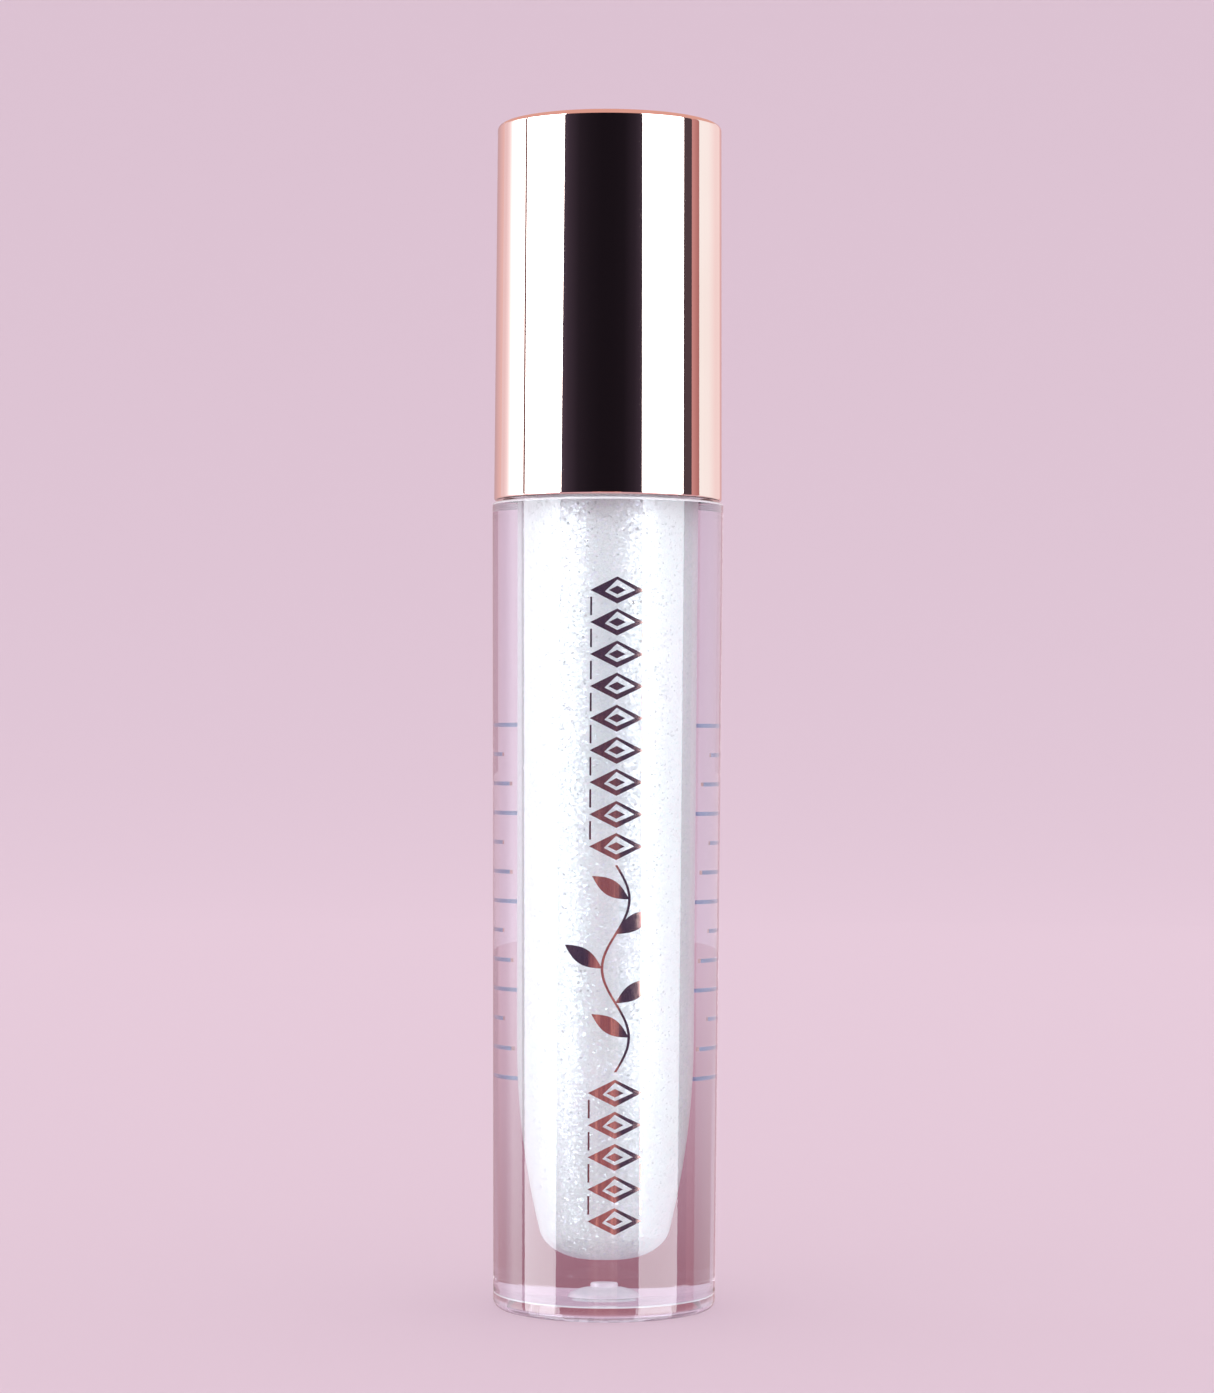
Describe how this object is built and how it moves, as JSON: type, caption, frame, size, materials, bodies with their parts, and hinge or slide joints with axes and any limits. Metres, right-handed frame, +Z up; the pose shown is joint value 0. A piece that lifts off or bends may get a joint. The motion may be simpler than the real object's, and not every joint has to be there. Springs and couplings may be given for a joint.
{
  "type": "lip gloss tube",
  "caption": "Round thick-walled clear tube with a screw cap that carries a weight, a rod and a flocked doe-foot tip, wiped by a soft insert in the neck.",
  "frame": {"origin": "centre of the foot, on the surface the tube stands on", "axes": "+Z up the tube's axis towards the cap, -Y towards the printed front, +X to the right of the front"},
  "size_m": [0.0194, 0.0194, 0.0987],
  "materials": {
    "clear_wall": "polished clear copolyester",
    "pearl_gloss": "wet pearl with fine sparkle",
    "foil_print": "hot-stamped foil",
    "label_film": "clear film",
    "wiper_plastic": "soft translucent polyethylene",
    "gasket_foam": "soft sealing foam",
    "rose_metal": "vacuum-metallised, mirror bright",
    "plated_steel": "zinc plated",
    "liner_plastic": "moulded polypropylene",
    "rod_plastic": "moulded polypropylene",
    "tip_plastic": "moulded elastomer",
    "flock": "short nylon pile"
  },
  "bodies": {
    "tube": {"tube_body": "clear_wall", "gloss_fill": "pearl_gloss", "front_foil": "foil_print", "back_foil": "foil_print", "base_label": "label_film", "wiper": "wiper_plastic"},
    "seal": {"gasket": "gasket_foam"},
    "weight": {"cap_weight": "plated_steel"},
    "cap": {"cap_shell": "rose_metal", "inner_cap": "liner_plastic", "stem": "rod_plastic", "applicator_core": "tip_plastic", "flocking": "flock"}
  },
  "joints": [
    {"name": "wand_draw", "type": "slide", "parent": "tube", "child": "seal", "axis": [0, 0, 1], "range_m": [0, 0.085]},
    {"name": "cap_rise", "type": "slide", "parent": "seal", "child": "weight", "axis": [0, 0, 1], "range_m": [0, 0.003]},
    {"name": "cap_turn", "type": "hinge", "parent": "weight", "child": "cap", "pos_m": [0, 0, 0.0673], "axis": [0, 0, 1], "range_deg": [0, 540]}
  ],
  "couplings": [
    {"joint": "cap_rise", "follows": "cap_turn", "m_per_rad": 0.00031831}
  ]
}
